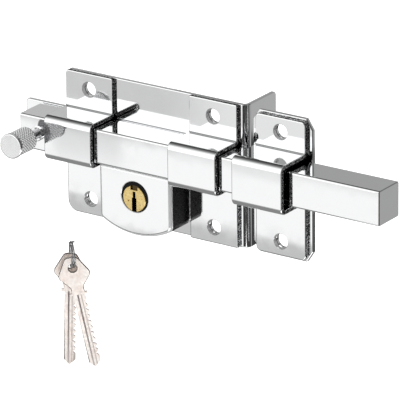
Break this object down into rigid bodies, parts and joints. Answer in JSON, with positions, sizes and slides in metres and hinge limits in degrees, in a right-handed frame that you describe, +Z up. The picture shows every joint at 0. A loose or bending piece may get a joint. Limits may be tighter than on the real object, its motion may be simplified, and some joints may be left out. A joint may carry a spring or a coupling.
{
  "type": "door bar lock",
  "caption": "Surface door lock: a square bar slides through folded straps into a keeper and is locked by a key cylinder below it.",
  "frame": {"origin": "middle of the four door bolts, on the door's face", "axes": "+X along the bar towards its tip, +Y into the door, +Z up"},
  "size_m": [0.3128, 0.0953, 0.2226],
  "materials": {
    "chrome_plate": "bright chrome on steel",
    "black_coat": "black coating on a casting",
    "brass": "turned brass",
    "zinc_steel": "zinc on steel",
    "ring_wire": "nickel on spring steel",
    "nickel_brass": "nickel on brass"
  },
  "bodies": {
    "lock_base": {"base_plate": "chrome_plate", "left_strap": "chrome_plate", "middle_strap": "chrome_plate", "case_body": "black_coat", "case_cover": "chrome_plate", "case_screws": "zinc_steel", "cylinder_housing": "black_coat", "cylinder_screws": "zinc_steel", "driver_pins": "brass", "pin_springs": "zinc_steel", "tower_cap": "brass"},
    "bar": {"bar": "chrome_plate", "knob": "chrome_plate", "knob_stud": "zinc_steel", "knob_collar": "chrome_plate"},
    "plug": {"plug": "brass", "key_pins": "brass", "retaining_clip": "zinc_steel", "cam": "zinc_steel", "cam_screw": "zinc_steel"},
    "locking_bolt": {"locking_bolt": "zinc_steel"},
    "keeper": {"keeper_plate": "chrome_plate", "keeper_strap": "chrome_plate"},
    "key_ring": {"key_ring": "ring_wire"},
    "key_front": {"key_front": "nickel_brass"},
    "key_back": {"key_back": "nickel_brass"}
  },
  "joints": [
    {"name": "bar_slide", "type": "slide", "parent": "lock_base", "child": "bar", "axis": [1, 0, 0], "range_m": [-0.124, 0]},
    {"name": "plug_turn", "type": "hinge", "parent": "lock_base", "child": "plug", "pos_m": [0, -0.0279, -0.0236], "axis": [0, 1, 0], "range_deg": [0, 180]},
    {"name": "bolt_lift", "type": "slide", "parent": "lock_base", "child": "locking_bolt", "axis": [0, 0, 1], "range_m": [0, 0.0084]},
    {"name": "keeper_slide", "type": "slide", "parent": "lock_base", "child": "keeper", "axis": [1, 0, 0], "range_m": [0, 0.125]},
    {"name": "ring_slide", "type": "slide", "parent": "lock_base", "child": "key_ring", "axis": [0, -1, 0], "range_m": [0, 0.1]},
    {"name": "front_key_swing", "type": "hinge", "parent": "key_ring", "child": "key_front", "pos_m": [-0.06273, -0.01609, -0.0922], "axis": [0.5592, -0.829, 0], "range_deg": [-30, 20]},
    {"name": "back_key_swing", "type": "hinge", "parent": "key_ring", "child": "key_back", "pos_m": [-0.06886, -0.01058, -0.0922], "axis": [0.5592, -0.829, 0], "range_deg": [-20, 30]}
  ],
  "couplings": [
    {"joint": "plug_turn", "follows": "bolt_lift", "rad_per_m": 374}
  ]
}
